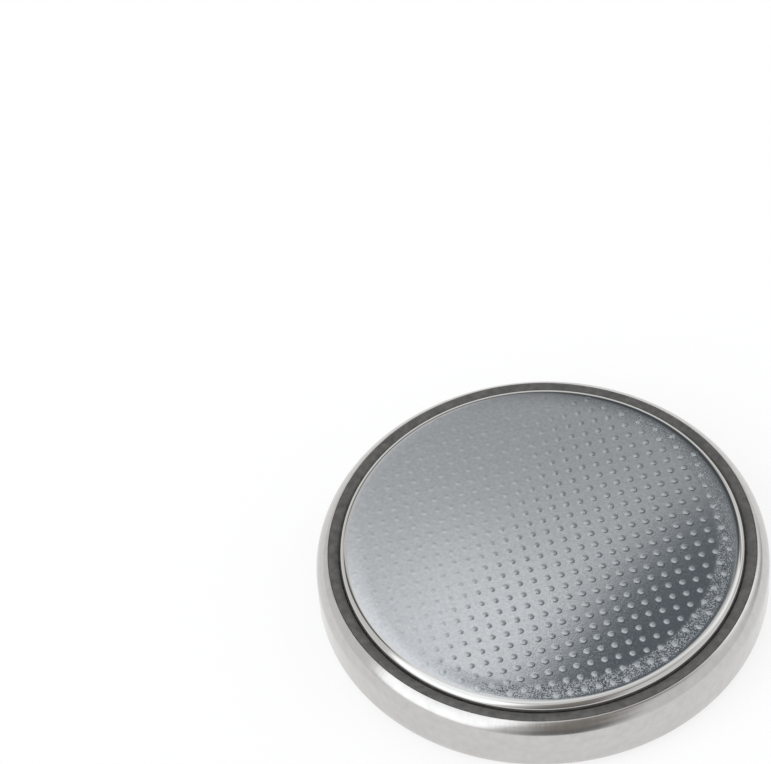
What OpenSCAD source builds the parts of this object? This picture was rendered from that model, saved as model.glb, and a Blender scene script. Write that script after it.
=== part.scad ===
/* [Cell] */
// Diameter over the can
cell_d = 20; // [16:0.1:24]
// Height from the can's floor to the tops of the pips
cell_h = 3.2; // [2.6:0.05:5.4]

/* [Positive can] */
// Sheet thickness of the can
can_wall = 0.25; // [0.2:0.01:0.3]
// Outside radius where the floor turns up into the side
can_corner_r = 0.65; // [0.5:0.05:0.9]
// Outside radius of the rolled rim
crimp_r = 1.15; // [1.0:0.05:1.3]
// Angle that the rolled rim turns in from upright
crimp_turn = 59; // [50:1:62]
// Depth of the rolled rim's crest below the cap's face, as if it turned a full quarter
crimp_drop = 0.15; // [0.1:0.01:0.25]

/* [Negative cap] */
// Sheet thickness of the cap
cap_wall = 0.2; // [0.16:0.01:0.25]
// Width of the open groove between the cap's side and the tip of the rolled rim
groove_w = 0.56; // [0.45:0.01:0.65]
// Outside radius at the edge of the cap's face
cap_edge_r = 0.3; // [0.26:0.01:0.4]
// Radius of the hollow bend at the foot of the cap's side
cap_foot_r = 0.12; // [0.08:0.01:0.16]

/* [Pips] */
// Spacing of the square grid of pips
pip_pitch = 0.62; // [0.5:0.01:1.2]
// Diameter of a pip where it leaves the face
pip_d = 0.3; // [0.24:0.01:0.4]
// Diameter of a pip's flat top
pip_top_d = 0.14; // [0.08:0.01:0.2]
// Height of a pip above the face
pip_h = 0.04; // [0.03:0.005:0.06]
// Angle that the grid of pips is turned by
pip_turn = 13; // [0:1:90]
// Shift of the grid along its rows, from a pip in the middle of the face
pip_shift_x = 0.35; // [0:0.01:1.2]
// Shift of the grid across its rows
pip_shift_y = 0.47; // [0:0.01:1.2]
// Plain border between the outermost pips and the start of the face's edge radius
pip_border = 0.05; // [0.05:0.05:1.5]

/* [Gasket] */
// Thickness of the gasket between the cap's skirt and the can's side
gasket_wall = 0.35; // [0.3:0.01:0.4]
// Thickness of the gasket's base below the skirt
gasket_base = 0.36; // [0.25:0.01:0.5]
// Thickness of the gasket's lip inside the skirt
gasket_lip = 0.4; // [0.3:0.01:0.5]
// Height that the gasket's lip reaches up inside the skirt
gasket_lip_h = 0.7; // [0.4:0.05:0.7]
// Depth of the gasket's bead in the groove, below the cap's face
bead_drop = 0.36; // [0.34:0.01:0.42]
// Gap between the bead and the cap's side
bead_gap = 0.1; // [0.05:0.01:0.14]
// Gap between the bead and the tip of the rolled rim
tip_gap = 0.03; // [0.01:0.01:0.06]

/* [Stack inside] */
// Thickness of the lithium disc
lithium_h = 0.6; // [0.4:0.05:0.7]
// Gap between the lithium disc and the separator's upturned edge
lithium_gap = 0.5; // [0.1:0.05:1]
// Thickness of the separator
separator_h = 0.15; // [0.1:0.01:0.25]
// Outside radius of the bend at the separator's edge
separator_bend_r = 0.3; // [0.26:0.01:0.4]
// Height of the separator's upturned edge
separator_rim_h = 0.5; // [0.42:0.01:0.6]
// Gap between the separator's upturned edge and the cap's side
separator_gap = 0.1; // [0.05:0.01:0.2]
// Gap between the cathode tablet and the gasket's lip
cathode_gap = 0.8; // [0.3:0.05:1.5]
// Rounding of the cathode tablet's edges
cathode_edge_r = 0.2; // [0.1:0.05:0.3]
// Thickness of the collector grid
grid_h = 0.12; // [0.08:0.01:0.2]
// Distance of the collector grid's edge inside the tablet's edge
grid_inset = 0.5; // [0.2:0.05:2]
// Spacing of the collector grid's bars
grid_pitch = 1.5; // [1:0.1:3]
// Width of the collector grid's bars
grid_bar = 0.3; // [0.2:0.05:0.5]

/* [Hidden] */
$fn = 180;
// Reach of a cutting shape past what it cuts
past = 1;

// The can's rolled rim is an arc about roll_at, and its tip lies at crimp_turn on that arc
can_r = cell_d / 2;
can_in_r = can_r - can_wall;
face_z = cell_h - pip_h;
roll_at = [can_r - crimp_r, face_z - crimp_drop - crimp_r];
tip_r = roll_at.x + crimp_r * cos(crimp_turn);
tip_in_r = roll_at.x + (crimp_r - can_wall) * cos(crimp_turn);

// The cap's side stands one groove inside the tip, and its shoulder follows the rolled rim
cap_r = tip_r - groove_w;
cap_in_r = cap_r - cap_wall;
cap_edge_at = [cap_r - cap_edge_r, face_z - cap_edge_r];
skirt_r = can_in_r - gasket_wall;
skirt_in_r = skirt_r - cap_wall;
skirt_z = can_wall + gasket_base;
shoulder_r = skirt_r - roll_at.x;
// The hollow bend touches the cap's side and the shoulder
foot_r = cap_r + cap_foot_r;
shoulder_turn = acos((foot_r - roll_at.x) / (shoulder_r + cap_foot_r));
foot_at = [foot_r, roll_at.y + (shoulder_r + cap_foot_r) * sin(shoulder_turn)];

// The pips fill the flat of the face
pip_field_r = cap_edge_at.x - pip_border - pip_d / 2;
pip_count = ceil((pip_field_r + norm([pip_shift_x, pip_shift_y])) / pip_pitch);

// The bead fills the groove's throat but for its two gaps
bead_r = (tip_in_r - cap_r - bead_gap - tip_gap) / 2;
bead_at = [cap_r + bead_gap + bead_r, face_z - bead_drop - bead_r];
lip_in_r = skirt_in_r - gasket_lip;
lip_top_at = [lip_in_r + gasket_lip / 2, skirt_z + gasket_lip_h - gasket_lip / 2];

// The stack stands on the can's floor and fills the height up to the inside of the cap
stack_top_z = face_z - cap_wall;
separator_r = cap_in_r - separator_gap;
separator_top_z = stack_top_z - lithium_h;
separator_z = separator_top_z - separator_h;
lithium_r = separator_r - separator_h - lithium_gap;
cathode_z = can_wall + grid_h;
cathode_r = lip_in_r - cathode_gap;
cathode_h = separator_z - cathode_z;
grid_r = cathode_r - grid_inset;

// Rectangle from one corner to the opposite one
module block(low, high) {
    translate(low)
        square(high - low);
}

module disc(at, r) {
    translate(at)
        circle(r = r);
}

// Filled section of a cup with a rounded corner, with its floor and side moved in by inset
module cup_section(r, corner_r, low, high, inset) {
    block([0, low + inset], [r - corner_r, high]);
    block([0, low + corner_r], [r - inset, high]);
    disc([r - corner_r, low + corner_r], corner_r - inset);
}

// Filled section of the can under its rolled rim, with its outside moved in by inset
module can_section(inset) {
    cup_section(can_r, can_corner_r, 0, roll_at.y, inset);
    disc(roll_at, crimp_r - inset);
}

// Filled section of the cap over its open bottom, with its outside moved in by inset
module cap_section(inset, bottom) {
    block([0, bottom], [cap_edge_at.x, face_z - inset]);
    block([0, bottom], [cap_r - inset, cap_edge_at.y]);
    block([0, bottom], [skirt_r - inset, roll_at.y]);
    disc(cap_edge_at, cap_edge_r - inset);
    disc(roll_at, shoulder_r - inset);
    difference() {
        polygon([[0, roll_at.y], roll_at, foot_at, [0, foot_at.y]]);
        disc(foot_at, cap_foot_r + inset);
    }
}

// What a rolled rim leaves open: all that lies further round than its turn from upright
module rim_opening(turn) {
    far = 2 * crimp_r;
    polygon([
        [-past, roll_at.y],
        roll_at,
        roll_at + far * [cos(turn), sin(turn)],
        [-past, roll_at.y + far]
    ]);
}

// Cup of sheet metal: a flat floor, a rounded corner, a straight side and a rolled rim
module positive_can() {
    color("silver")
        rotate_extrude()
            difference() {
                can_section(0);
                can_section(can_wall);
                rim_opening(crimp_turn);
            }
}

// Ring that parts the cap from the can. It fills the space between them from a base under the
// skirt up to a bead in the groove, and its lip stands inside the skirt
module gasket() {
    color("dimgray")
        rotate_extrude() {
            difference() {
                can_section(can_wall);
                cap_section(0, skirt_z);
                rim_opening(shoulder_turn);
                block([-past, 0], [lip_in_r, face_z]);
            }
            disc(bead_at, bead_r);
            block([lip_in_r, can_wall], [skirt_in_r, lip_top_at.y]);
            disc(lip_top_at, gasket_lip / 2);
        }
}

// Round pips on a square grid, as far out as the flat of the face goes
module pip_field() {
    for (i = [-pip_count:pip_count], j = [-pip_count:pip_count]) {
        spot = pip_pitch * [i, j] + [pip_shift_x, pip_shift_y];
        if (norm(spot) <= pip_field_r)
            translate(spot)
                cylinder(d1 = pip_d, d2 = pip_top_d, h = pip_h, $fn = 24);
    }
}

// Lid of sheet metal: a face with pips, a short side, and a shoulder stepped out to a skirt
module negative_cap() {
    color("gainsboro") {
        rotate_extrude()
            difference() {
                cap_section(0, skirt_z);
                cap_section(cap_wall, skirt_z - past);
            }
        translate([0, 0, face_z])
            rotate(pip_turn)
                pip_field();
    }
}

// Soft metal disc, pressed against the inside of the cap
module lithium_disc() {
    color("lightsteelblue")
        translate([0, 0, separator_top_z])
            cylinder(r = lithium_r, h = lithium_h);
}

// Felted sheet over the cathode tablet, with its edge turned up round the lithium disc
module separator() {
    rim_z = separator_z + separator_rim_h;
    color("white")
        rotate_extrude()
            difference() {
                cup_section(separator_r, separator_bend_r, separator_z, rim_z, 0);
                cup_section(separator_r, separator_bend_r, separator_z, rim_z + past, separator_h);
            }
}

// Pressed tablet with rounded edges
module cathode_tablet() {
    flat_r = cathode_r - cathode_edge_r;
    color("#2b2b2d")
        translate([0, 0, cathode_z])
            rotate_extrude() {
                block([0, 0], [flat_r, cathode_h]);
                block([0, cathode_edge_r], [cathode_r, cathode_h - cathode_edge_r]);
                for (z = [cathode_edge_r, cathode_h - cathode_edge_r])
                    disc([flat_r, z], cathode_edge_r);
            }
}

// Flat metal grid in a ring, between the can's floor and the tablet
module collector_grid() {
    bars = floor(grid_r / grid_pitch);
    color("darkgray")
        translate([0, 0, can_wall])
            linear_extrude(grid_h) {
                difference() {
                    circle(r = grid_r);
                    circle(r = grid_r - grid_bar);
                }
                intersection() {
                    circle(r = grid_r - grid_bar / 2);
                    for (turn = [0, 90], i = [-bars:bars])
                        rotate(turn)
                            translate([-grid_r, i * grid_pitch - grid_bar / 2])
                                square([2 * grid_r, grid_bar]);
                }
            }
}

positive_can();
gasket();
negative_cap();
lithium_disc();
separator();
cathode_tablet();
collector_grid();
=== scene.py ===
"""Looks of the lithium coin cell: its pieces, finishes, camera and studio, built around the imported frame."""

import logging
import math
from collections.abc import Sequence
from dataclasses import dataclass, field
from enum import Enum

import bpy
from mathutils import Matrix, Vector

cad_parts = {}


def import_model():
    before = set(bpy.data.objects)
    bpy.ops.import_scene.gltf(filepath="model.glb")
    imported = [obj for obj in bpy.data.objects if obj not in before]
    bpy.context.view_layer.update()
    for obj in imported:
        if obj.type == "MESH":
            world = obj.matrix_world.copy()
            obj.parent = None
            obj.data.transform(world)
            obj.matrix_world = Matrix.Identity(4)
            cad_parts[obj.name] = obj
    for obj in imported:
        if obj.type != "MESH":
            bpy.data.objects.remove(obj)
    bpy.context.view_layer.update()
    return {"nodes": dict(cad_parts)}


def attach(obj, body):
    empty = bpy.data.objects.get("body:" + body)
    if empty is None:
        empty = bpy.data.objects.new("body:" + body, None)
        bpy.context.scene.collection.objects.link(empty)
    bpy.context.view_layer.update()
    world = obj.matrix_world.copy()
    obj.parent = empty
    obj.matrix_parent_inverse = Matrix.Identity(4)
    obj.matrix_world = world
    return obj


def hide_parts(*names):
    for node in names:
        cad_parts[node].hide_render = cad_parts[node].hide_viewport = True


LOG = logging.getLogger("coin_cell")
MM = 0.001
ROOT_BODY = "root"
WHITE = (1.0, 1.0, 1.0, 1.0)
# Attributes that say how far a piece is frosted, and how deep the embossing die pressed it
FROST = "frost"
PRESS = "press"
# Steps of a full turn in every turned piece
TURN_STEPS = 240
# Distance within which two points of a turned piece are one, in mm
MERGE_WITHIN = 1e-5
# Detail of the noise in a colour's pattern, and in a layer of relief
COLOUR_DETAIL = 3.0
RELIEF_DETAIL = 2.0
# Limits that no piece reaches, for a zone that is open on that side, in mm
NO_LEAST = -1.0
NO_LARGEST = 100.0

Point = tuple[float, float]
Point3 = tuple[float, float, float]
Socket = bpy.types.NodeSocket
Tree = bpy.types.NodeTree
Input = Socket | float | Sequence[float]


def linear(hex_colour: str) -> tuple[float, float, float, float]:
    """Turns an sRGB colour into the linear colour that a shader takes.

    Args:
        hex_colour: Six hex digits.

    Returns:
        Red, green, blue and an alpha of 1.
    """
    channels = [int(hex_colour[i : i + 2], 16) / 255 for i in (0, 2, 4)]
    red, green, blue = (c / 12.92 if c <= 0.04045 else ((c + 0.055) / 1.055) ** 2.4 for c in channels)
    return red, green, blue, 1.0


def feed(tree: Tree, socket: Socket, value: Input) -> None:
    """Gives an input socket its value.

    Args:
        tree: Node tree that holds the socket.
        socket: The input socket.
        value: Output socket of another node, or a constant.
    """
    if isinstance(value, Socket):
        tree.links.new(value, socket)
    else:
        socket.default_value = value


def add_node(
    tree: Tree,
    kind: str,
    settings: dict[str, object] | None = None,
    inputs: dict[str | int, Input] | None = None,
) -> bpy.types.Node:
    """Adds one shader node.

    Args:
        tree: Node tree that takes the node.
        kind: Blender's name for the kind of node.
        settings: Values of the node's own properties.
        inputs: What goes into its input sockets, by their names or numbers.

    Returns:
        The new node.
    """
    made = tree.nodes.new(kind)
    for name, value in (settings or {}).items():
        setattr(made, name, value)
    for socket, value in (inputs or {}).items():
        feed(tree, made.inputs[socket], value)
    return made


def calculate(tree: Tree, operation: str, *terms: Input) -> Socket:
    """Does one sum with numbers, by Blender's name for it, and gives the result."""
    return add_node(tree, "ShaderNodeMath", {"operation": operation}, dict(enumerate(terms))).outputs[0]


def calculate_vector(tree: Tree, operation: str, *terms: Input) -> bpy.types.Node:
    """Does one sum with vectors, by Blender's name for it, and gives the node, with its output Vector or Value."""
    return add_node(tree, "ShaderNodeVectorMath", {"operation": operation}, dict(enumerate(terms)))


def scaled(tree: Tree, vector: Socket, factor: float) -> Socket:
    """Multiplies a vector by a number."""
    inputs = {0: vector, "Scale": factor}
    return add_node(tree, "ShaderNodeVectorMath", {"operation": "SCALE"}, inputs).outputs["Vector"]


def ramp(tree: Tree, value: Socket, start: float, end: float) -> Socket:
    """Makes a soft step, which leaves 0 where a value is at start and reaches 1 where it is at end."""
    inputs = {"Value": value, "From Min": start, "From Max": end}
    return add_node(tree, "ShaderNodeMapRange", {"interpolation_type": "SMOOTHSTEP"}, inputs).outputs["Result"]


def noise(tree: Tree, at: Socket, detail: float, scale: float = 1.0) -> Socket:
    """Makes a noise between 0 and 1 over coordinates, of which one unit holds as many features as scale says."""
    inputs = {"Vector": at, "Scale": scale, "Detail": detail}
    return add_node(tree, "ShaderNodeTexNoise", inputs=inputs).outputs["Fac"]


def attribute(tree: Tree, name: str) -> Socket:
    """Reads a number from the piece's own attribute."""
    return add_node(tree, "ShaderNodeAttribute", {"attribute_name": name}).outputs["Fac"]


def relief(tree: Tree, height: Socket, depth: float, under: Socket | None = None) -> Socket:
    """Raises a relief.

    Args:
        tree: Node tree that takes the relief.
        height: Height from 0 to 1.
        depth: What a height of 1 is, in mm.
        under: Normal of the relief that it lies on, if it lies on one.

    Returns:
        The normal.
    """
    inputs = {"Height": height, "Strength": 1.0, "Distance": depth * MM}
    if under is not None:
        inputs["Normal"] = under
    return add_node(tree, "ShaderNodeBump", inputs=inputs).outputs["Normal"]


def mixed(tree: Tree, share: Socket, first: Input, second: Input) -> Socket:
    """Mixes two colours.

    Args:
        tree: Node tree that takes the mix.
        share: Share of the second colour.
        first: Colour, or the socket that gives it.
        second: Colour, or the socket that gives it.

    Returns:
        The mixed colour.
    """
    mix = add_node(tree, "ShaderNodeMix", {"data_type": "RGBA"}, {"Factor": share})
    for name, colour in (("A", first), ("B", second)):
        feed(tree, next(s for s in mix.inputs if s.enabled and s.name == name), colour)
    return next(s for s in mix.outputs if s.enabled)


def start_material(name: str) -> tuple[bpy.types.Material, Tree, bpy.types.Node]:
    """Makes a node material.

    Args:
        name: Name of the material.

    Returns:
        The material, its node tree and its shader.
    """
    material = bpy.data.materials.new(name)
    material.use_nodes = True
    return material, material.node_tree, material.node_tree.nodes["Principled BSDF"]


def on_arc(centre: Point, radius: float, angle: float) -> Point:
    """Gives the point of an arc at an angle from outwards, in degrees. Lengths in a section are in mm."""
    turn = math.radians(angle)
    return centre[0] + radius * math.cos(turn), centre[1] + radius * math.sin(turn)


def arc(centre: Point, radius: float, start: float, end: float, steps: int) -> list[Point]:
    """Gives the points of an arc from its first angle to its last, with a number of even steps between them."""
    return [on_arc(centre, radius, start + (end - start) * i / steps) for i in range(steps + 1)]


def deselect() -> None:
    """Leaves nothing selected in object mode."""
    bpy.ops.object.select_all(action="DESELECT")


def turned(name: str, section: list[Point]) -> bpy.types.Object:
    """Draws a section by extruding a point along it, and spins it round Z.

    Args:
        name: Name of the new object.
        section: Distance from the axis and height of each point, in mm. It ends on the axis or where it starts.

    Returns:
        A closed mesh, in mm, in object mode.
    """
    deselect()
    bpy.ops.mesh.primitive_plane_add(size=1)
    piece = bpy.context.object
    piece.name = piece.data.name = name
    bpy.ops.object.mode_set(mode="EDIT")
    bpy.ops.mesh.merge(type="CENTER")
    bpy.ops.transform.translate(value=(section[0][0], 0, section[0][1]))
    for here, there in zip(section, section[1:]):
        step = (there[0] - here[0], 0, there[1] - here[1])
        bpy.ops.mesh.extrude_region_move(TRANSFORM_OT_translate={"value": step})
    bpy.ops.mesh.select_all(action="SELECT")
    bpy.ops.mesh.remove_doubles(threshold=MERGE_WITHIN)
    bpy.ops.mesh.spin(steps=TURN_STEPS, angle=math.tau, center=(0, 0, 0), axis=(0, 0, 1))
    bpy.ops.mesh.select_all(action="SELECT")
    bpy.ops.mesh.remove_doubles(threshold=MERGE_WITHIN)
    bpy.ops.mesh.normals_make_consistent(inside=False)
    bpy.ops.object.mode_set(mode="OBJECT")
    return piece


class Joining(Enum):
    """How a tool and a piece become one, by Blender's names."""

    ADD = "UNION"
    CUT = "DIFFERENCE"


def combine(piece: bpy.types.Object, tool: bpy.types.Object, joining: Joining) -> None:
    """Adds a tool to a piece, or cuts it out, and deletes the tool.

    Args:
        piece: Closed mesh that is kept.
        tool: Closed mesh that is used up.
        joining: What the tool does.
    """
    deselect()
    bpy.context.view_layer.objects.active = piece
    piece.select_set(True)
    boolean = piece.modifiers.new("Combine", "BOOLEAN")
    boolean.operation = joining.value
    boolean.solver = "MANIFOLD"
    boolean.object = tool
    bpy.ops.object.modifier_apply(modifier=boolean.name)
    bpy.data.objects.remove(tool)


def finish_piece(
    piece: bpy.types.Object, material: bpy.types.Material, node: str, smooth_angle: float
) -> None:
    """Brings a finished mesh to metres, shades and dresses it, and puts it in its CAD node's place.

    Args:
        piece: Mesh in mm.
        material: Its finish.
        node: CAD node that it replaces.
        smooth_angle: Largest angle that is shaded as a curve, in degrees.
    """
    piece.data.transform(Matrix.Scale(MM, 4))
    deselect()
    bpy.context.view_layer.objects.active = piece
    piece.select_set(True)
    bpy.ops.object.shade_smooth_by_angle(angle=math.radians(smooth_angle))
    weights = piece.modifiers.new("Flat faces stay flat", "WEIGHTED_NORMAL")
    weights.keep_sharp = True
    bpy.ops.object.modifier_apply(modifier=weights.name)
    piece.data.materials.clear()
    piece.data.materials.append(material)
    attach(piece, ROOT_BODY)
    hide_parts(node)
    LOG.info("%s: %d faces, in place of %s", piece.name, len(piece.data.polygons), node)


@dataclass(frozen=True)
class Place:
    """Where a shader is on a turned piece, from Object coordinates, in mm.

    Attributes:
        at: The place itself.
        flat: The place without its height.
        r: Distance from the axis.
        z: Height.
    """

    at: Socket
    flat: Socket
    r: Socket
    z: Socket

    @classmethod
    def find(cls, tree: Tree) -> "Place":
        """Adds the nodes that find the place.

        Args:
            tree: Node tree of the material.

        Returns:
            The place.
        """
        at = scaled(tree, add_node(tree, "ShaderNodeTexCoord").outputs["Object"], 1 / MM)
        flat = calculate_vector(tree, "MULTIPLY", at, (1, 1, 0)).outputs["Vector"]
        r = calculate_vector(tree, "LENGTH", flat).outputs["Value"]
        z = add_node(tree, "ShaderNodeSeparateXYZ", inputs={"Vector": at}).outputs["Z"]
        return cls(at, flat, r, z)


@dataclass(frozen=True)
class Zone:
    """Part of a turned piece, by distance from the axis and by height, in mm.

    Attributes:
        r: Least and largest distance from the axis.
        z: Least and largest height.
        fade: Width of the soft edge inside each limit in r.
        fade_z: Width of the soft edge inside each limit in z.
    """

    r: Point = (NO_LEAST, NO_LARGEST)
    z: Point = (NO_LEAST, NO_LARGEST)
    fade: float = 0.3
    fade_z: float = 0.004

    def mask(self, tree: Tree, place: Place) -> Socket:
        """Makes a value that is 1 inside the zone and 0 outside it.

        Args:
            tree: Node tree of the material.
            place: Where the shader is.

        Returns:
            The mask.
        """
        mask, *steps = [
            ramp(tree, value, start, end)
            for value, (low, high), fade in ((place.r, self.r, self.fade), (place.z, self.z, self.fade_z))
            for start, end in ((low, low + fade), (high, high - fade))
        ]
        for step in steps:
            mask = calculate(tree, "MULTIPLY", mask, step)
        return mask


class Lie(Enum):
    """How the marks of a layer lie on a turned piece."""

    EVEN = "the same in every direction"
    DRAWN = "streaks along the section, as a die leaves them where it draws the sheet over itself"


@dataclass(frozen=True)
class Layer:
    """One layer of fine relief and wear, from a noise.

    Attributes:
        size: Width of its features, in mm.
        depth: Height of its relief, in mm.
        roughness: How much it adds to the roughness at its peaks.
        reach: Noise values at which a feature starts and is full.
        lie: How its features lie.
        stretch: How much longer than wide drawn streaks are.
        streak_r: Radius at which a drawn streak has its width, in mm.
        zone: Where on the piece it lies, if it isn't all over.
        share: The piece's own attribute that says how much of it shows, if it isn't the same all over.
    """

    size: float
    depth: float
    roughness: float = 0.0
    reach: Point = (0.25, 0.75)
    lie: Lie = Lie.EVEN
    stretch: float = 1.0
    streak_r: float = 10.0
    zone: Zone | None = None
    share: str | None = None

    def marks(self, tree: Tree, place: Place) -> Socket:
        """Makes the layer's marks.

        Args:
            tree: Node tree of the material.
            place: Where the shader is.

        Returns:
            A value that is 0 beside the marks and 1 on their peaks.
        """
        at = self.along_section(tree, place) if self.lie is Lie.DRAWN else scaled(tree, place.at, 1 / self.size)
        marks = ramp(tree, noise(tree, at, RELIEF_DETAIL), *self.reach)
        if self.zone is not None:
            marks = calculate(tree, "MULTIPLY", marks, self.zone.mask(tree, place))
        if self.share is not None:
            marks = calculate(tree, "MULTIPLY", marks, attribute(tree, self.share))
        return marks

    def along_section(self, tree: Tree, place: Place) -> Socket:
        """Makes coordinates that change fast round the piece and slowly up its side and over its rim.

        Args:
            tree: Node tree of the material.
            place: Where the shader is.

        Returns:
            The coordinates for a noise of scale 1.
        """
        way = calculate_vector(tree, "NORMALIZE", place.flat).outputs["Vector"]
        turn = scaled(tree, way, self.streak_r / self.size)
        rise = calculate(tree, "SUBTRACT", place.z, place.r)
        slow = calculate(tree, "DIVIDE", rise, self.size * self.stretch)
        lift = add_node(tree, "ShaderNodeCombineXYZ", inputs={"Z": slow}).outputs["Vector"]
        return calculate_vector(tree, "ADD", turn, lift).outputs["Vector"]


@dataclass(frozen=True)
class PlatedSteel:
    """Stainless steel sheet, nickel-plated and press-formed: a soft metallic sheen over fine die marks.

    Attributes:
        name: Name of the material.
        colour: Reflected colour where the plating is bright, as sRGB hex.
        patina: Reflected colour where it has dulled.
        patina_size: Width of the dulled spots, in mm.
        roughness: Roughness between the marks.
        layers: Layers of relief and wear, from coarse to fine.
        tint: Reflected colour in the tinted zone: the pale sign on the can, and painted shade on the cap's edge.
        tint_zone: Where the piece is tinted.
        frost: Reflected colour where the piece's own attribute says frost, if it has one.
    """

    name: str
    colour: str
    patina: str
    patina_size: float
    roughness: float
    layers: tuple[Layer, ...]
    tint: str
    tint_zone: Zone
    frost: str | None = None

    def build(self) -> bpy.types.Material:
        """Makes the material.

        Returns:
            A node material on Object coordinates.
        """
        material, tree, shader = start_material(self.name)
        shader.inputs["Metallic"].default_value = 1.0
        place = Place.find(tree)
        feed(tree, shader.inputs["Base Color"], self.colouring(tree, place))
        self.wear(tree, shader, place)
        return material

    def colouring(self, tree: Tree, place: Place) -> Socket:
        """Makes the reflected colour.

        Args:
            tree: Node tree of the material.
            place: Where the shader is.

        Returns:
            The colour.
        """
        spots = noise(tree, scaled(tree, place.at, 1 / self.patina_size), COLOUR_DETAIL)
        colour = mixed(tree, spots, linear(self.colour), linear(self.patina))
        if self.frost is not None:
            colour = mixed(tree, attribute(tree, FROST), colour, linear(self.frost))
        return mixed(tree, self.tint_zone.mask(tree, place), colour, linear(self.tint))

    def wear(self, tree: Tree, shader: bpy.types.Node, place: Place) -> None:
        """Lays the layers of relief and wear over each other.

        Args:
            tree: Node tree of the material.
            shader: Shader that takes their roughness and their normal.
            place: Where the shader is.
        """
        roughness: Input = self.roughness
        normal: Socket | None = None
        for layer in self.layers:
            marks = layer.marks(tree, place)
            normal = relief(tree, marks, layer.depth, normal)
            if layer.roughness:
                roughness = calculate(tree, "MULTIPLY_ADD", marks, layer.roughness, roughness)
        feed(tree, shader.inputs["Roughness"], roughness)
        feed(tree, shader.inputs["Normal"], normal)


@dataclass(frozen=True)
class DullSolid:
    """A material that isn't polished: moulded plastic, felt, pressed powder or a dull metal.

    Attributes:
        name: Name of the material.
        dark: Colour in the hollows of its pattern, as sRGB hex.
        light: Colour on its peaks.
        roughness: Roughness all over.
        size: Width of the pattern's features, in mm.
        depth: Height of the relief, in mm.
        metallic: 1 for a metal, and otherwise 0.
    """

    name: str
    dark: str
    light: str
    roughness: float
    size: float
    depth: float
    metallic: float = 0.0

    def build(self) -> bpy.types.Material:
        """Makes the material.

        Returns:
            A node material on Object coordinates.
        """
        material, tree, shader = start_material(self.name)
        shader.inputs["Metallic"].default_value = self.metallic
        shader.inputs["Roughness"].default_value = self.roughness
        at = add_node(tree, "ShaderNodeTexCoord").outputs["Object"]
        pattern = noise(tree, at, COLOUR_DETAIL, 1 / (self.size * MM))
        feed(tree, shader.inputs["Base Color"], mixed(tree, pattern, linear(self.dark), linear(self.light)))
        feed(tree, shader.inputs["Normal"], relief(tree, pattern, self.depth))
        return material


CAN_SIDE = Zone(r=(9.25, NO_LARGEST), fade=0.2)
CAN_FLOOR = Zone(r=(NO_LEAST, 9.6), z=(NO_LEAST, 0.1))
SIGN = Zone(r=(NO_LEAST, 9.0), z=(0.008, 0.1))
CAP_RIM = Zone(r=(7.6, 8.6), fade=0.25)
# Painted shade: the cap's rounded edge and its side down in the groove are coloured darker and warmer than its face
CAP_EDGE_PAINTED_SHADE = Zone(r=(8.5, 9.5), fade=0.15)

# Stainless steel sheet, nickel-plated and drawn: a bright soft sheen with faint streaks up the side, where the die
# dragged over it, and a duller floor with a pale sunk sign. Die lines are too fine to show, so the streaks are
# drawn 0.09 mm wide
CAN_STEEL = PlatedSteel(
    name="plated_steel_drawn",
    colour="CFCDCB",
    patina="BBBAB8",
    patina_size=0.4,
    roughness=0.1,
    layers=(
        Layer(size=1.6, depth=0.0015, lie=Lie.DRAWN, stretch=2.0, zone=CAN_SIDE),
        Layer(size=0.09, depth=0.0004, roughness=0.08, lie=Lie.DRAWN, stretch=12.0, zone=CAN_SIDE),
        Layer(size=0.1, depth=0.0008, roughness=0.1, zone=CAN_FLOOR),
        Layer(size=0.08, depth=0.004, roughness=0.45, reach=(0.2, 0.4), zone=SIGN),
    ),
    tint="F4F3F1",
    tint_zone=SIGN,
)
# Stainless steel sheet, nickel-plated and embossed: nearly a mirror between the pips, and frosted on them and in a
# speckled ring inside the edge, so both stay pale where the flat mirrors something dark. The frosting is too fine
# to show, so its specks are drawn 0.06 mm wide
CAP_STEEL = PlatedSteel(
    name="plated_steel_embossed",
    colour="D6DADE",
    patina="B4B8BC",
    patina_size=0.16,
    roughness=0.03,
    layers=(
        Layer(size=0.055, depth=0.0002, roughness=0.36, reach=(0.39, 0.71), zone=CAP_RIM, share=PRESS),
        Layer(size=0.06, depth=0.0003, roughness=0.27, reach=(0.1, 0.5), share=FROST),
        Layer(size=0.07, depth=0.00012, roughness=0.05),
    ),
    # Painted shade: a darker, warmer colour over the rounded edge and the side in the groove
    tint="CAC9C7",
    tint_zone=CAP_EDGE_PAINTED_SHADE,
    frost="C9CDD1",
)
# Polypropylene, moulded and coated with sealant: a dull dark ring, mottled in grey where the coat is thin
GASKET_PLASTIC = DullSolid(
    name="polypropylene_moulded", dark="2F2F30", light="74726F", roughness=0.5, size=0.3, depth=0.006
)
# Lithium, rolled: a soft pale metal, dulled in patches by its own skin
LITHIUM = DullSolid(
    name="lithium_rolled", dark="9C9C98", light="C9C9C4", roughness=0.45, size=0.6, depth=0.01, metallic=1.0
)
# Polypropylene fibre, felted: matt white with a fine grain. The fibres are a hundredth of a millimetre thick,
# which is too fine to show, so the grain is drawn 0.05 mm wide
FELT = DullSolid(name="polypropylene_felted", dark="CFCFCB", light="F0F0EC", roughness=0.9, size=0.05, depth=0.02)
# Manganese dioxide and carbon powder, pressed: matt black. Its grains are too fine to show, so the grain is
# drawn 0.08 mm wide
POWDER = DullSolid(
    name="manganese_dioxide_pressed", dark="17171A", light="2E2E31", roughness=0.85, size=0.08, depth=0.01
)
# Stainless steel sheet, etched: plain satin grey
GRID_STEEL = DullSolid(
    name="stainless_steel_etched", dark="8E8E8E", light="B0B0AE", roughness=0.35, size=0.1, depth=0.002, metallic=1.0
)


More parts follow.
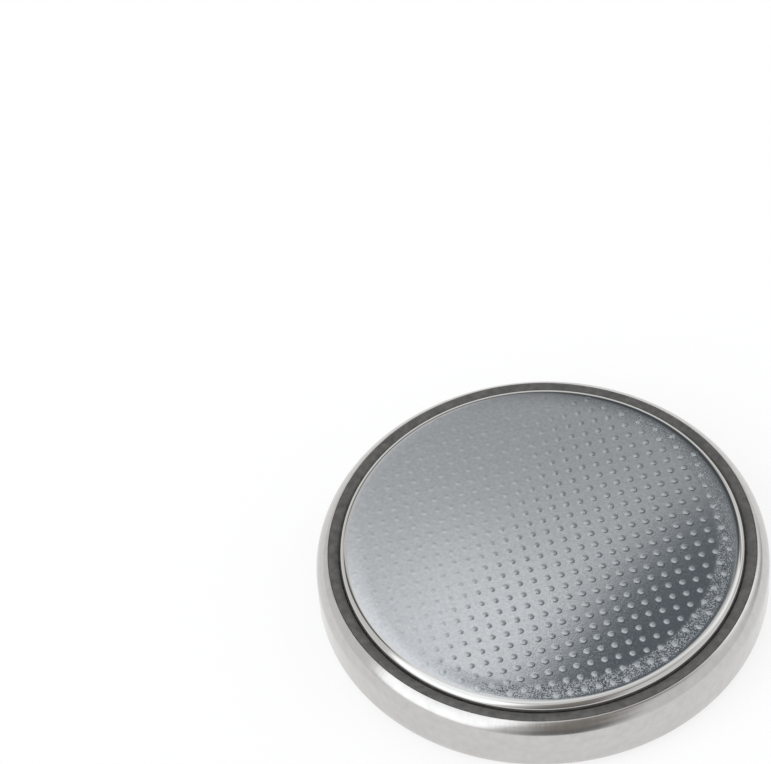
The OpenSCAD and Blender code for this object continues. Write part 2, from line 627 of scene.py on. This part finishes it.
@dataclass
class Can:
    """Positive can: a drawn cup with a rolled rim, and a plus sign sunk into its floor. Sizes are in mm.

    Attributes:
        radius: Outside radius.
        wall: Thickness of the sheet.
        corner_r: Outside radius where the floor turns up into the side.
        crimp_r: Outside radius of the rolled rim.
        crimp_turn: Angle that the rim turns in from upright, in degrees.
        crimp_drop: Depth of the rim's crest below the cap's face, as if it turned a full quarter.
        end_r: Rounding of the sheet's cut end.
        face_z: Height of the cap's face.
        sign_size: Length of the sign's bars.
        sign_stroke: Width of the bars.
        sign_depth: Depth of the sign.
        sign_y: Place of the sign's middle along Y.
        smooth_angle: Largest angle that is shaded as a curve, in degrees.
    """

    radius: float = 10.0
    wall: float = 0.25
    corner_r: float = 0.65
    crimp_r: float = 1.15
    crimp_turn: float = 59.0
    crimp_drop: float = 0.15
    end_r: float = 0.015
    face_z: float = 3.16
    sign_size: float = 4.3
    sign_stroke: float = 0.34
    sign_depth: float = 0.02
    sign_y: float = 5.8
    smooth_angle: float = 40.0

    @property
    def roll_at(self) -> Point:
        """Centre of the rolled rim's arc."""
        return self.radius - self.crimp_r, self.face_z - self.crimp_drop - self.crimp_r

    @property
    def tip(self) -> Point:
        """Point at the tip of the rolled rim, on its outside."""
        return on_arc(self.roll_at, self.crimp_r, self.crimp_turn)

    def rim_end(self, reach: float, start: float, end: float) -> tuple[float, list[Point]]:
        """Rounds one corner of the sheet's cut end.

        Args:
            reach: Distance of the rounding's centre from the centre of the rolled rim.
            start: First angle of the rounding, in degrees, from where its centre lies.
            end: Last angle of the rounding, in degrees, from where the cut end lies.

        Returns:
            Angle of the rounding's centre on the rolled rim, and the rounding's points.
        """
        turn = self.crimp_turn - math.degrees(math.asin(self.end_r / reach))
        centre = on_arc(self.roll_at, reach, turn)
        return turn, arc(centre, self.end_r, start + turn, end + self.crimp_turn, steps=4)

    def section(self) -> list[Point]:
        """Draws the section of the sheet.

        Returns:
            Points from the floor's middle up the outside, round the rim and back inside.
        """
        corner_at = (self.radius - self.corner_r, self.corner_r)
        outer_turn, outer_end = self.rim_end(self.crimp_r - self.end_r, 0, 90)
        inner_turn, inner_end = self.rim_end(self.crimp_r - self.wall + self.end_r, 180, 90)
        return [
            (0, 0),
            *arc(corner_at, self.corner_r, 270, 360, steps=12),
            *arc(self.roll_at, self.crimp_r, 0, outer_turn, steps=16),
            *outer_end[1:],
            *inner_end[:0:-1],
            *arc(self.roll_at, self.crimp_r - self.wall, inner_turn, 0, steps=10),
            *arc(corner_at, self.corner_r - self.wall, 360, 270, steps=6),
            (0, self.wall),
        ]

    def sign(self) -> bpy.types.Object:
        """Models the cutter for the plus sign: two crossed bars with square ends, half of them below the floor.

        Returns:
            The cutter, in mm.
        """
        bars = []
        for turn in (0, math.pi / 2):
            deselect()
            bpy.ops.mesh.primitive_cube_add(size=1, location=(0, self.sign_y, 0), rotation=(0, 0, turn))
            bar = bpy.context.object
            bar.scale = (self.sign_size, self.sign_stroke, 2 * self.sign_depth)
            bpy.ops.object.transform_apply(location=True, rotation=True, scale=True)
            bars.append(bar)
        combine(*bars, Joining.ADD)
        return bars[0]

    def build(self) -> None:
        """Models and dresses the can."""
        piece = turned("can_drawn_cup", self.section())
        combine(piece, self.sign(), Joining.CUT)
        finish_piece(piece, CAN_STEEL.build(), "positive_can", self.smooth_angle)


@dataclass
class Cap:
    """Negative cap: a lid with a field of pips, stepped out over a shoulder to a skirt. Sizes are in mm.

    Attributes:
        can: The can that is rolled in over it.
        wall: Thickness of the sheet.
        groove_w: Width of the open groove between the cap's side and the tip of the rolled rim.
        edge_r: Outside radius at the edge of the face.
        foot_r: Radius of the hollow bend at the foot of the side.
        gasket_wall: Thickness of the gasket between the skirt and the can's side.
        skirt_z: Height of the skirt's foot.
        rim_w: Width of the face's outer ring, which falls outwards.
        rim_drop: How far that ring falls.
        face_rings: Rings of faces inside it.
        rim_rings: Rings of faces in it.
        pip_pitch: Spacing of the square grid of pips.
        pip_r: Radius of a pip.
        pip_h: Height of a pip where the die pressed in full.
        pip_turn: Angle that the grid is turned by, in degrees.
        pip_shift: Shift of the grid along and across its rows.
        pip_border: Plain border between the outermost pips and the rounding of the face's edge.
        pip_plug: Depth to which a pip sinks into the face.
        apron_w: Width of the hair-thin apron round a pip.
        apron_h: Height of the apron.
        pip_sides: Sides of a pip.
        pip_rings: Rings of faces up a pip.
        frost_full: Share of a pip's height from which it is frosted in full.
        press_way: Direction over the face in which the die pressed ever deeper.
        press_from: Distance along it up to which the die pressed least.
        press_to: Distance along it from which the die pressed in full.
        press_least: Least share of the full depth.
        smooth_angle: Largest angle that is shaded as a curve, in degrees.
    """

    can: Can
    wall: float = 0.2
    groove_w: float = 0.51
    edge_r: float = 0.35
    foot_r: float = 0.12
    gasket_wall: float = 0.35
    skirt_z: float = 0.61
    rim_w: float = 0.9
    rim_drop: float = 0.02
    face_rings: int = 12
    rim_rings: int = 10
    pip_pitch: float = 0.62
    pip_r: float = 0.155
    pip_h: float = 0.0075
    pip_turn: float = 13.0
    pip_shift: Point = (0.35, 0.47)
    pip_border: float = 0.05
    pip_plug: float = 0.05
    apron_w: float = 0.05
    apron_h: float = 0.0005
    pip_sides: int = 12
    pip_rings: int = 5
    frost_full: float = 0.35
    press_way: Point = (0.935, -0.355)
    press_from: float = -3.2
    press_to: float = 2.4
    press_least: float = 0.15
    smooth_angle: float = 40.0

    @property
    def radius(self) -> float:
        """Outside radius of the cap's short side."""
        return self.can.tip[0] - self.groove_w

    @property
    def shoulder_r(self) -> float:
        """Outside radius of the shoulder, about the centre of the can's rolled rim."""
        return self.can.crimp_r - self.can.wall - self.gasket_wall

    @property
    def foot(self) -> tuple[Point, float]:
        """Finds the hollow bend at the foot of the side.

        Returns:
            Centre of the bend, and the angle in degrees where it meets the shoulder.
        """
        roll = self.can.roll_at
        reach = self.shoulder_r + self.foot_r
        turn = math.acos((self.radius + self.foot_r - roll[0]) / reach)
        return (self.radius + self.foot_r, roll[1] + reach * math.sin(turn)), math.degrees(turn)

    @property
    def flat_r(self) -> float:
        """Radius at which the rounding of the face's edge starts."""
        return self.radius - self.edge_r

    def face_height(self, r: float) -> float:
        """Height of the face at a distance from the axis: flat, with a slight fall towards the edge."""
        fall = max(0.0, (r - self.flat_r) / self.rim_w + 1)
        return self.can.face_z - self.rim_drop * fall * fall

    def face_lean(self, r: float) -> float:
        """Angle in radians by which the face falls outwards at a distance from the axis."""
        step = 0.01
        return math.atan((self.face_height(r - step) - self.face_height(r + step)) / (2 * step))

    def press(self, x: float, y: float) -> float:
        """Finds how deep the embossing die pressed at a spot. It stood slightly askew.

        Args:
            x: Place of the spot along X.
            y: Place of the spot along Y.

        Returns:
            Share of the full depth.
        """
        along = (x * self.press_way[0] + y * self.press_way[1] - self.press_from) / (self.press_to - self.press_from)
        along = min(max(along, 0.0), 1.0)
        return self.press_least + (1 - self.press_least) * along * along * (3 - 2 * along)

    def sheet(self, inset: float) -> list[Point]:
        """Draws the sheet's surface beyond the face.

        Args:
            inset: Distance by which the surface is moved in.

        Returns:
            Points from the face's edge down to the skirt's foot.
        """
        roll = self.can.roll_at
        foot_at, turn = self.foot
        edge_at = (self.flat_r, self.face_height(self.flat_r) - self.edge_r)
        skirt_r = roll[0] + self.shoulder_r
        return [
            *arc(edge_at, self.edge_r - inset, 90, 0, steps=8),
            *arc(foot_at, self.foot_r + inset, 180, 180 + turn, steps=6),
            *arc(roll, self.shoulder_r - inset, turn, 0, steps=8)[1:],
            (skirt_r - inset, self.skirt_z),
        ]

    def section(self) -> list[Point]:
        """Draws the section of the sheet. Its inside is flat as far as the lithium disc reaches.

        Returns:
            Points from the face's middle to the skirt and back inside.
        """
        inner_r = self.flat_r - self.rim_w
        rings = [inner_r * i / self.face_rings for i in range(self.face_rings)]
        rings += [inner_r + self.rim_w * i / self.rim_rings for i in range(self.rim_rings)]
        inside_z = self.can.face_z - self.wall
        return [
            *((r, self.face_height(r)) for r in rings),
            *self.sheet(0),
            *reversed(self.sheet(self.wall)),
            (self.flat_r - self.rim_w / 2, inside_z),
            (0, inside_z),
        ]

    def bell(self, share: float) -> float:
        """Height of a pip above the face where it has a share of its full width."""
        return self.apron_h + self.pip_h * (1 + math.cos(math.pi * share)) / 2

    def pip(self) -> bpy.types.Object:
        """Models one pip on the origin: a plug that sinks into the face, a hair-thin apron and rings up a bell.

        Returns:
            The pip, in mm.
        """
        deselect()
        foot_r = self.pip_r + self.apron_w
        bpy.ops.mesh.primitive_circle_add(vertices=self.pip_sides, radius=foot_r, fill_type="NGON")
        pip = bpy.context.object
        bpy.ops.object.mode_set(mode="EDIT")
        bpy.ops.mesh.select_all(action="SELECT")
        bpy.ops.transform.translate(value=(0, 0, -self.pip_plug))
        shares = [1 - ring / self.pip_rings for ring in range(self.pip_rings + 1)]
        rings = [(foot_r, self.apron_h)] + [(self.pip_r * share, self.bell(share)) for share in shares]
        r, z = foot_r, -self.pip_plug
        for next_r, next_z in rings:
            bpy.ops.mesh.extrude_region_move(TRANSFORM_OT_translate={"value": (0, 0, next_z - z)})
            if next_r > 0:
                bpy.ops.transform.resize(value=(next_r / r, next_r / r, 1))
            r, z = next_r, next_z
        bpy.ops.mesh.merge(type="CENTER")
        bpy.ops.mesh.select_all(action="SELECT")
        bpy.ops.mesh.normals_make_consistent(inside=False)
        bpy.ops.object.mode_set(mode="OBJECT")
        return pip

    def spots(self) -> list[Point]:
        """Finds the places of the pips: a square grid, turned and shifted, as far out as the face is flat.

        Returns:
            The places.
        """
        field_r = self.flat_r - self.pip_border - self.pip_r
        reach = math.ceil((field_r + math.hypot(*self.pip_shift)) / self.pip_pitch)
        turn = Matrix.Rotation(math.radians(self.pip_turn), 2)
        grid = [
            turn @ Vector((self.pip_pitch * i + self.pip_shift[0], self.pip_pitch * j + self.pip_shift[1]))
            for i in range(-reach, reach + 1)
            for j in range(-reach, reach + 1)
        ]
        return [(spot.x, spot.y) for spot in grid if spot.length <= field_r]

    def pip_field(self) -> bpy.types.Object:
        """Copies the pip to every spot, at the face's own height and lean and as deep as the die pressed there.

        Returns:
            The joined copies, in mm.
        """
        pip = self.pip()
        copies = []
        for x, y in self.spots():
            made = pip.copy()
            made.data = pip.data.copy()
            r = math.hypot(x, y)
            lean = Matrix.Rotation(self.face_lean(r), 4, Vector((-y, x, 0)))
            press = Matrix.Scale(self.press(x, y), 4, Vector((0, 0, 1)))
            made.data.transform(Matrix.Translation((x, y, self.face_height(r))) @ lean @ press)
            bpy.context.scene.collection.objects.link(made)
            copies.append(made)
        bpy.data.objects.remove(pip)
        deselect()
        for made in copies:
            made.select_set(True)
        bpy.context.view_layer.objects.active = copies[0]
        bpy.ops.object.join()
        LOG.info("%d pips", len(copies))
        return bpy.context.object

    def mark(self, piece: bpy.types.Object) -> None:
        """Writes the attributes that the cap's steel reads.

        Args:
            piece: The cap with its pips, in mm.
        """
        # A new attribute can move the ones before it, so both are made before either is fetched
        for name in (FROST, PRESS):
            piece.data.attributes.new(name, "FLOAT", "POINT")
        frost, press = (piece.data.attributes[name].data for name in (FROST, PRESS))
        for index, vertex in enumerate(piece.data.vertices):
            x, y, z = vertex.co
            depth = self.press(x, y)
            lift = (z - self.face_height(math.hypot(x, y))) / depth - self.apron_h
            frosted = min(max(lift / self.pip_h / self.frost_full, 0.0), 1.0)
            frost[index].value = depth * frosted
            press[index].value = depth

    def build(self) -> None:
        """Models and dresses the cap."""
        piece = turned("cap_pipped_lid", self.section())
        combine(piece, self.pip_field(), Joining.ADD)
        self.mark(piece)
        finish_piece(piece, CAP_STEEL.build(), "negative_cap", self.smooth_angle)


@dataclass
class Gasket:
    """Sealing ring between the can and the cap, with a bead that shows in the groove. Sizes are in mm.

    Attributes:
        can: The can round it.
        cap: The cap inside it.
        lip: Thickness of the lip inside the skirt.
        lip_h: Height that the lip reaches up inside the skirt.
        bead_drop: Depth of the bead's crest below the cap's face.
        bead_fall: How far the bead falls from its crest to the cap's side.
        bead_crest: Place of the crest, as a share of the way from the cap's side to the rim's tip.
        bead_gap: Gap between the bead and the cap's side.
        tip_gap: Gap between the bead and the rim's cut end.
        tip_inset: How far inside the rim's outer surface the bead meets the cut end.
        smooth_angle: Largest angle that is shaded as a curve, in degrees.
    """

    can: Can
    cap: Cap
    lip: float = 0.4
    lip_h: float = 0.7
    bead_drop: float = 0.3
    bead_fall: float = 0.16
    bead_crest: float = 0.6
    bead_gap: float = 0.005
    tip_gap: float = 0.006
    tip_inset: float = 0.04
    smooth_angle: float = 50.0

    def bead(self, tip: Point) -> list[Point]:
        """Draws the bead's surface as two quarter arcs, squeezed to the groove's width.

        Args:
            tip: Point beside the rolled rim's cut end, where the bead starts.

        Returns:
            Points from there over the crest and down to the cap's side.
        """
        throat_r = self.cap.radius + self.bead_gap
        crest = throat_r + self.bead_crest * (tip[0] - throat_r), self.can.face_z - self.bead_drop
        foot = throat_r, crest[1] - self.bead_fall
        # The first arc stops short of the crest, with which the second one starts
        return [
            (crest[0] + (end[0] - crest[0]) * x, end[1] + (crest[1] - end[1]) * z)
            for end, start, stop in ((tip, 0, 80), (foot, 90, 0))
            for x, z in arc((0, 0), 1, start, stop, steps=8)
        ]

    def section(self) -> list[Point]:
        """Draws the closed section: base, wall, bead, and the lip inside the skirt.

        Returns:
            Points from the lip's foot round the outside and back to it.
        """
        can, cap = self.can, self.cap
        roll = can.roll_at
        reach = can.crimp_r - self.tip_inset
        tip_turn = can.crimp_turn + math.degrees(self.tip_gap / reach)
        skirt_r = roll[0] + cap.shoulder_r
        lip_r = skirt_r - cap.wall - self.lip / 2
        lip_at = (lip_r, cap.skirt_z + self.lip_h - self.lip / 2)
        inner_corner_at = (can.radius - can.corner_r, can.corner_r)
        section = [
            (lip_r - self.lip / 2, can.wall),
            *arc(inner_corner_at, can.corner_r - can.wall, 270, 360, steps=6),
            *arc(roll, can.crimp_r - can.wall, 0, tip_turn, steps=8),
            *self.bead(on_arc(roll, reach, tip_turn)),
            *arc(roll, cap.shoulder_r, cap.foot[1], 0, steps=8),
            (skirt_r, cap.skirt_z),
            (skirt_r - cap.wall, cap.skirt_z),
            *arc(lip_at, self.lip / 2, 0, 180, steps=8),
        ]
        return section + section[:1]

    def build(self) -> None:
        """Models and dresses the gasket."""
        piece = turned("gasket_sealing_ring", self.section())
        finish_piece(piece, GASKET_PLASTIC.build(), "gasket", self.smooth_angle)


@dataclass
class Stack:
    """Discs inside the cell. Their CAD solids have the right form, so they only take their finishes.

    Attributes:
        finishes: Finish of each node.
    """

    finishes: dict[str, DullSolid] = field(
        default_factory=lambda: {
            "lithium_disc": LITHIUM,
            "separator": FELT,
            "cathode_tablet": POWDER,
            "collector_grid": GRID_STEEL,
        }
    )

    def dress(self, nodes: dict[str, bpy.types.Object]) -> None:
        """Gives each disc its finish.

        Args:
            nodes: The frame's nodes by name.
        """
        for name, finish in self.finishes.items():
            nodes[name].data.materials.clear()
            nodes[name].data.materials.append(finish.build())
            LOG.info("%s: dressed", name)


@dataclass(frozen=True)
class Patch:
    """A soft-edged part of the studio that the metal mirrors, such as a softbox or a dark card.

    Attributes:
        at: Direction of its middle, from +Y towards +X, and its height above the floor, in degrees.
        half: Half its width and half its height, in degrees.
        edge: Share of its size over which it fades out.
        level: Its brightness, where 1 is white.
        lean: Turn of its upright axis towards the right as seen from the cell, in degrees.
        colour: Its colour, as sRGB hex.
    """

    at: Point
    half: Point
    edge: float
    level: float
    lean: float = 0.0
    colour: str = "FFFFFF"

    def frame(self) -> tuple[Vector, Vector]:
        """Gives the patch's place on the unit sphere.

        Returns:
            Its middle as a direction, and the turn that brings X to that direction and Z up its height.
        """
        azimuth, elevation = self.at
        turn = (
            Matrix.Rotation(math.radians(90 - azimuth), 3, "Z")
            @ Matrix.Rotation(math.radians(-elevation), 3, "Y")
            @ Matrix.Rotation(math.radians(self.lean), 3, "X")
        )
        return turn @ Vector((1, 0, 0)), Vector(turn.to_euler("XYZ"))

    def paint(self, tree: Tree, way: Socket, under: Input) -> Socket:
        """Lays the patch over what is already there.

        Args:
            tree: The world's node tree.
            way: Direction of the ray.
            under: Light so far.

        Returns:
            Light with the patch.
        """
        middle, turn = self.frame()
        size = (1, *(math.sin(math.radians(half)) for half in self.half))
        inputs = {"Vector": way, "Location": middle, "Rotation": turn, "Scale": size}
        local = add_node(tree, "ShaderNodeMapping", {"vector_type": "TEXTURE"}, inputs).outputs["Vector"]
        # Fourth powers in place of squares give the patch the form of a sheet with rounded corners
        squares = calculate_vector(tree, "MULTIPLY", local, local).outputs["Vector"]
        reach = calculate(tree, "SQRT", calculate_vector(tree, "LENGTH", squares).outputs["Value"])
        share = ramp(tree, reach, 1 + self.edge / 2, 1 - self.edge / 2)
        light = [self.level * channel for channel in linear(self.colour)[:3]] + [1.0]
        return mixed(tree, share, under, light)


@dataclass
class Studio:
    """Floor, lights and camera. Lengths are in mm.

    Attributes:
        image_w: Width of the image, in pixels.
        focal_px: Focal length, in pixels of that image.
        camera_at: Place of the camera.
        camera_aim: Point that it looks at.
        camera_roll: Its turn about its line of sight, in degrees.
        sensor_w: Width of its sensor.
        clip: Nearest and farthest distance that it shows.
        ambient: Brightness of the room between the patches, where 1 is white.
        patches: Light and dark parts of the room, each laid over the ones before it.
        floor_size: Length of the floor's sides.
        floor_colour: Colour of its paper, as sRGB hex.
        floor_roughness: Roughness of its paper.
        glow: Brightness of the white that the camera and the metal see in the floor.
        glow_share: Share of that white in what they see there.
    """

    image_w: int = 771
    focal_px: float = 3736.0
    camera_at: Point3 = (0.0, -101.615, 132.343)
    camera_aim: Point3 = (-6.646, 6.541, 6.684)
    camera_roll: float = -4.906
    sensor_w: float = 36.0
    clip: Point = (5.0, 10000.0)
    ambient: float = 0.85
    patches: tuple[Patch, ...] = (
        # Tall softbox behind the camera's left shoulder, which draws the white streak on the rolled rim
        Patch(at=(-129, 36), half=(26, 31), edge=0.3, level=1.85, colour="FAFCFF"),
        # Softbox high on the left
        Patch(at=(-100, 68), half=(30, 13), edge=1.2, level=1.5, lean=-44, colour="FAFCFF"),
        # Softbox on the right
        Patch(at=(49.5, 45.4), half=(26.8, 19.6), edge=0.87, level=1.5, lean=44.5, colour="FAFCFF"),
        # Dark gap beside the camera, and the grey ones above it
        Patch(at=(171.7, 14.4), half=(18.9, 20.7), edge=1.2, level=0.2, lean=-32),
        Patch(at=(165.4, 39.5), half=(14, 17.5), edge=1.3, level=0.28, lean=-45, colour="FFF6EE"),
        Patch(at=(143.7, 55.7), half=(25.4, 5.7), edge=1.3, level=0.3, lean=-9, colour="FFF6EE"),
        # Grey side of the room
        Patch(at=(60, 3), half=(15, 6), edge=1.3, level=0.55, lean=-30),
        # The light that the face mirrors, stronger towards the viewer
        Patch(at=(0, 50), half=(35, 20), edge=0.8, level=0.763),
        Patch(at=(-17, 60), half=(7, 8), edge=0.5, level=1.1),
        # Dark far side of the room, which draws a thin line round the face
        Patch(at=(-52, 46), half=(8, 16), edge=0.5, level=0.15),
        Patch(at=(-8, 29), half=(30, 6), edge=0.6, level=0.15),
        # Grey strip over it, and a small light gap
        Patch(at=(30, 41.1), half=(27.7, 4.7), edge=0.35, level=0.484, lean=26.4),
        Patch(at=(-0.3, 55.2), half=(2.4, 3), edge=0.6, level=0.98, lean=60),
        # Dark cards that the face's edge and its lower right mirror
        Patch(at=(15.6, 40), half=(10.8, 14), edge=0.65, level=0.125, lean=53.5, colour="DCE8F0"),
        Patch(at=(6.2, 56.4), half=(5, 4.5), edge=0.2, level=0.185, lean=51.6, colour="DCE8F0"),
    )
    floor_size: float = 2000.0
    floor_colour: str = "F4F4F4"
    floor_roughness: float = 0.9
    glow: float = 1.08
    glow_share: float = 0.7

    def camera(self) -> None:
        """Makes the camera at the photograph's place, turn and reach."""
        data = bpy.data.cameras.new("camera")
        data.sensor_width = self.sensor_w
        data.lens = self.sensor_w * self.focal_px / self.image_w
        data.clip_start, data.clip_end = (limit * MM for limit in self.clip)
        camera = bpy.data.objects.new("camera", data)
        bpy.context.scene.collection.objects.link(camera)
        at = Vector(self.camera_at) * MM
        aim = Vector(self.camera_aim) * MM - at
        camera.matrix_world = (
            Matrix.Translation(at)
            @ aim.to_track_quat("-Z", "Y").to_matrix().to_4x4()
            @ Matrix.Rotation(math.radians(self.camera_roll), 4, "Z")
        )
        bpy.context.scene.camera = camera

    def world(self) -> None:
        """Lights the scene from all round with the patches over a plain level, and shows the camera white."""
        world = bpy.data.worlds.new("studio")
        bpy.context.scene.world = world
        world.use_nodes = True
        tree = world.node_tree
        way = add_node(tree, "ShaderNodeTexCoord").outputs["Generated"]
        light: Input = [self.ambient] * 3 + [1.0]
        for patch in self.patches:
            light = patch.paint(tree, way, light)
        seen = add_node(tree, "ShaderNodeLightPath").outputs["Is Camera Ray"]
        feed(tree, tree.nodes["Background"].inputs["Color"], mixed(tree, seen, light, WHITE))

    def floor(self) -> None:
        """Lays a white floor, which the camera and the metal see paler than its shadows are."""
        bpy.ops.mesh.primitive_plane_add(size=self.floor_size * MM)
        floor = bpy.context.object
        floor.name = "floor"
        material, tree, paper = start_material("paper_white")
        paper.inputs["Base Color"].default_value = linear(self.floor_colour)
        paper.inputs["Roughness"].default_value = self.floor_roughness
        glow = add_node(tree, "ShaderNodeEmission", inputs={"Color": WHITE, "Strength": self.glow})
        path = add_node(tree, "ShaderNodeLightPath")
        seen = path.outputs["Is Camera Ray"]
        for kind in ("Is Glossy Ray", "Is Transmission Ray"):
            seen = calculate(tree, "MAXIMUM", seen, path.outputs[kind])
        share = calculate(tree, "MULTIPLY", seen, self.glow_share)
        mix = add_node(tree, "ShaderNodeMixShader", inputs={0: share, 1: paper.outputs[0], 2: glow.outputs[0]})
        feed(tree, tree.nodes["Material Output"].inputs["Surface"], mix.outputs[0])
        floor.data.materials.append(material)

    def build(self) -> None:
        """Sets up camera, world and floor."""
        self.camera()
        self.world()
        self.floor()
        bpy.context.scene.view_settings.view_transform = "Standard"


def main() -> None:
    """Builds the cell and its studio around the frame."""
    logging.basicConfig(level=logging.INFO, format="%(name)s %(message)s")
    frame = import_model()
    can = Can()
    cap = Cap(can)
    can.build()
    cap.build()
    Gasket(can, cap).build()
    Stack().dress(frame["nodes"])
    Studio().build()


if __name__ == "__main__":
    main()
